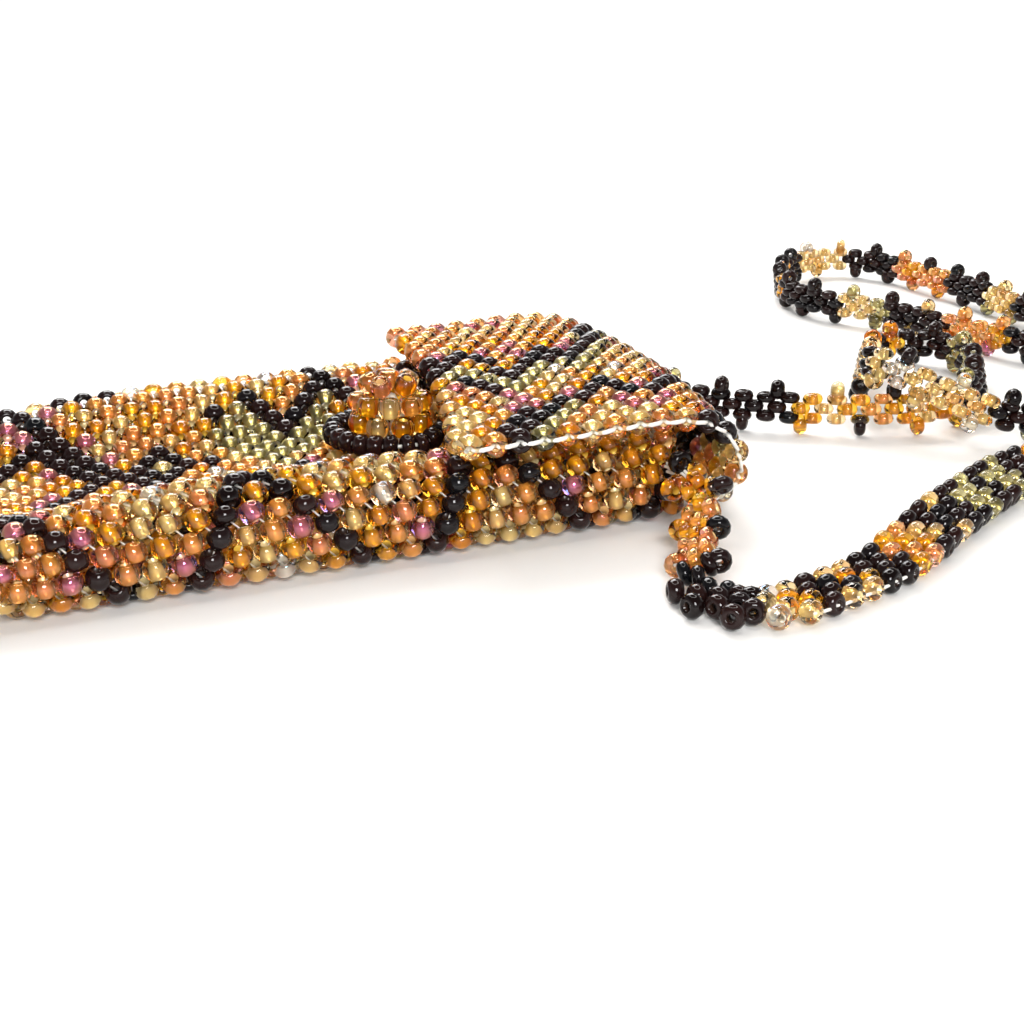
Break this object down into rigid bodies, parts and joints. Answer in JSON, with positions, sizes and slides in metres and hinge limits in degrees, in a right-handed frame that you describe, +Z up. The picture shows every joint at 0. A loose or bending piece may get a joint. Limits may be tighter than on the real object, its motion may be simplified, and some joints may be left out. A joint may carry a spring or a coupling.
{
  "type": "beaded medicine bag",
  "caption": "Small flat pouch of seed-bead weaving with a folded flap, a beaded button and closing loop, and a narrow beaded neck strap.",
  "frame": {"origin": "centre of the bag's footprint on the surface it lies on, the neck strap left out", "axes": "+X along the pouch from its stitched bottom end towards the mouth, +Y across the pouch to its far side, +Z up from the back panel it lies on"},
  "size_m": [0.1843, 0.1235, 0.0118],
  "materials": {
    "beadwork": "glossy glass seed beads, amber, champagne and pink-purple lustre",
    "flap_beadwork": "glossy glass seed beads, champagne and amber with black and olive zigzags",
    "black_bead": "opaque jet black glass, high gloss",
    "amber_bead": "clear amber glass, silver lined",
    "thread": "white beading thread, slightly waxed",
    "strap_beadwork": "glossy seed beads in short blocks of amber, black, champagne, olive and pink"
  },
  "bodies": {
    "root": {"pouch": "beadwork", "flap": "flap_beadwork", "button_thread_core": "thread", "button_bead_01": "amber_bead", "button_bead_02": "amber_bead", "button_bead_03": "amber_bead", "button_bead_04": "amber_bead", "button_bead_05": "amber_bead", "button_bead_06": "amber_bead", "button_bead_07": "amber_bead", "button_bead_08": "amber_bead", "button_bead_09": "amber_bead", "button_bead_10": "amber_bead", "button_bead_11": "amber_bead", "button_bead_12": "amber_bead", "button_bead_13": "amber_bead", "button_bead_14": "amber_bead", "button_bead_15": "amber_bead", "button_bead_16": "amber_bead", "button_bead_17": "amber_bead", "button_bead_18": "amber_bead", "button_bead_19": "amber_bead", "loop_thread": "thread", "loop_bead_01": "black_bead", "loop_bead_02": "black_bead", "loop_bead_03": "black_bead", "loop_bead_04": "black_bead", "loop_bead_05": "black_bead", "loop_bead_06": "black_bead", "loop_bead_07": "black_bead", "loop_bead_08": "black_bead", "loop_bead_09": "black_bead", "loop_bead_10": "black_bead", "loop_bead_11": "black_bead", "loop_bead_12": "black_bead", "loop_bead_13": "black_bead", "loop_bead_14": "black_bead", "loop_bead_15": "black_bead", "loop_bead_16": "black_bead", "loop_bead_17": "black_bead", "loop_bead_18": "black_bead", "flap_selvedge_thread": "thread", "bottom_seam_thread": "thread", "strap_stitch_near": "thread", "strap_stitch_far": "thread", "neck_strap": "strap_beadwork"}
  },
  "joints": []
}
